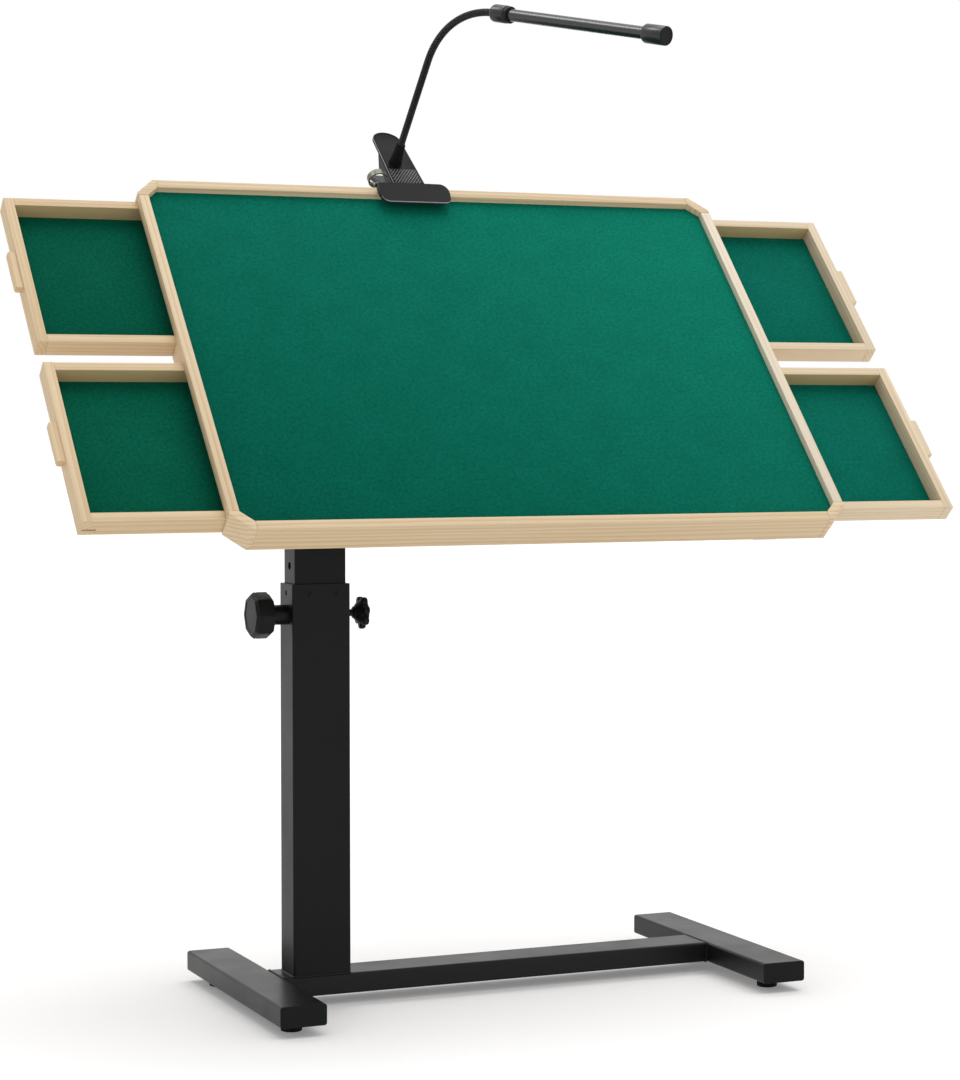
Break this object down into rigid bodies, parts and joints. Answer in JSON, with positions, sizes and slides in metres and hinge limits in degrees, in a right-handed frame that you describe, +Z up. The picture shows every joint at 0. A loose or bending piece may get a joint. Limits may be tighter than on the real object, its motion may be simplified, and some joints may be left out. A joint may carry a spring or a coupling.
{
  "type": "jigsaw puzzle table",
  "caption": "Tilting felt-topped puzzle board with side drawers on an offset height-adjustable steel column and an H-shaped foot, with a clip-on gooseneck light bar.",
  "frame": {"origin": "on the floor, under the middle of the bounding box in the stored pose; X = 0 is the board's middle plane", "axes": "+X to the user's right along the board's front edge, +Y away from the user to the board's raised rear edge, +Z up"},
  "size_m": [1.102, 0.5466, 1.1633],
  "materials": {
    "black_steel": "satin black powder coat",
    "black_plastic": "matt black moulded",
    "glide_rubber": "matt black",
    "zinc_steel": "zinc plated",
    "pine": "light pine, thin clear lacquer",
    "plywood": "bare thin plywood",
    "green_felt": "matt short-pile green felt",
    "lamp_plastic": "satin dark grey moulded",
    "neck_black": "black wound gooseneck",
    "lamp_aluminium": "black anodised",
    "diffuser_white": "opal white",
    "led_board": "white circuit board"
  },
  "bodies": {
    "base": {"left_foot": "black_steel", "right_foot": "black_steel", "crossbar": "black_steel", "foot_end_caps": "black_plastic", "glides": "glide_rubber", "outer_column": "black_steel", "guide_bush": "black_plastic", "pin_collar": "black_steel", "rivet_nut": "zinc_steel"},
    "height_pin": {"index_knob": "black_plastic", "index_pin": "zinc_steel"},
    "height_clamp": {"clamp_knob": "black_plastic", "clamp_stud": "black_steel"},
    "mast": {"inner_column": "black_steel", "slider_bush": "black_plastic", "tilt_clamp": "black_steel"},
    "tilt_lock": {"tilt_knob": "black_plastic", "tilt_screw": "zinc_steel"},
    "board": {"cross_tube": "black_steel", "cross_tube_caps": "black_plastic", "support_arms": "black_steel", "arm_screws": "zinc_steel", "drawer_ledgers": "black_steel", "front_rail": "pine", "rear_rail": "pine", "side_strips": "pine", "corner_blocks": "pine", "mid_beam": "pine", "centre_dividers": "pine", "top_panel": "plywood", "top_felt": "green_felt", "clip_upper": "lamp_plastic", "clip_upper_pad": "glide_rubber", "clip_pin": "zinc_steel", "clip_spring": "zinc_steel", "neck_lower": "neck_black"},
    "front_left_drawer": {"front_left_drawer_box": "pine", "front_left_drawer_bottom": "plywood", "front_left_drawer_felt": "green_felt"},
    "front_right_drawer": {"front_right_drawer_box": "pine", "front_right_drawer_bottom": "plywood", "front_right_drawer_felt": "green_felt"},
    "rear_left_drawer": {"rear_left_drawer_box": "pine", "rear_left_drawer_bottom": "plywood", "rear_left_drawer_felt": "green_felt"},
    "rear_right_drawer": {"rear_right_drawer_box": "pine", "rear_right_drawer_bottom": "plywood", "rear_right_drawer_felt": "green_felt"},
    "clip_jaw": {"clip_lower": "lamp_plastic", "clip_lower_pad": "glide_rubber"},
    "neck_middle_part": {"neck_middle": "neck_black"},
    "lamp_head": {"neck_upper": "neck_black", "lamp_collar": "lamp_plastic", "swivel_ring": "lamp_plastic"},
    "power_switch": {"power_button": "lamp_plastic"},
    "light_bar": {"light_tube": "lamp_aluminium", "light_diffuser": "diffuser_white", "led_strip": "led_board", "light_end_cap": "lamp_plastic"}
  },
  "joints": [
    {"name": "height_slide", "type": "slide", "parent": "base", "child": "mast", "axis": [0, 0, 1], "range_m": [-0.084, 0.14]},
    {"name": "height_pin_push", "type": "slide", "parent": "base", "child": "height_pin", "axis": [1, 0, 0], "range_m": [0, 0.01]},
    {"name": "height_clamp_turn", "type": "hinge", "parent": "base", "child": "height_clamp", "pos_m": [-0.226, -0.02876, 0.452], "axis": [1, 0, 0], "range_deg": [-360, 90]},
    {"name": "board_tilt", "type": "hinge", "parent": "mast", "child": "board", "pos_m": [0, -0.02876, 0.6503], "axis": [1, 0, 0], "range_deg": [-47, 8]},
    {"name": "tilt_lock_turn", "type": "hinge", "parent": "mast", "child": "tilt_lock", "pos_m": [-0.226, 0.02124, 0.6408], "axis": [0, 0, 1], "range_deg": [-360, 90]},
    {"name": "front_left_drawer_pull", "type": "slide", "parent": "board", "child": "front_left_drawer", "axis": [-1, 0, 0], "range_m": [-0.16, 0.09]},
    {"name": "front_right_drawer_pull", "type": "slide", "parent": "board", "child": "front_right_drawer", "axis": [1, 0, 0], "range_m": [-0.16, 0.09]},
    {"name": "rear_left_drawer_pull", "type": "slide", "parent": "board", "child": "rear_left_drawer", "axis": [-1, 0, 0], "range_m": [-0.16, 0.09]},
    {"name": "rear_right_drawer_pull", "type": "slide", "parent": "board", "child": "rear_right_drawer", "axis": [1, 0, 0], "range_m": [-0.16, 0.09]},
    {"name": "clip_open", "type": "hinge", "parent": "board", "child": "clip_jaw", "pos_m": [-0.025, 0.2007, 0.96821], "axis": [1, 0, 0], "range_deg": [0, 18], "stiffness_Nm_per_rad": 0.6, "springref_deg": -28.65},
    {"name": "neck_lower_bend", "type": "hinge", "parent": "board", "child": "neck_middle_part", "pos_m": [-0.029, 0.15508, 1.06197], "axis": [1, 0, 0], "range_deg": [-35, 35]},
    {"name": "neck_upper_bend", "type": "hinge", "parent": "neck_middle_part", "child": "lamp_head", "pos_m": [-0.029, 0.11771, 1.10095], "axis": [0, 0.7218, 0.6921], "range_deg": [-30, 30]},
    {"name": "light_bar_turn", "type": "hinge", "parent": "lamp_head", "child": "light_bar", "pos_m": [0.01012, -0.04263, 1.14857], "axis": [0.3727, -0.9078, -0.1925], "range_deg": [-60, 60]},
    {"name": "power_button_press", "type": "slide", "parent": "lamp_head", "child": "power_switch", "axis": [-0.9041, -0.3084, -0.2958], "range_m": [0, 0.0007], "stiffness_N_per_m": 300}
  ]
}
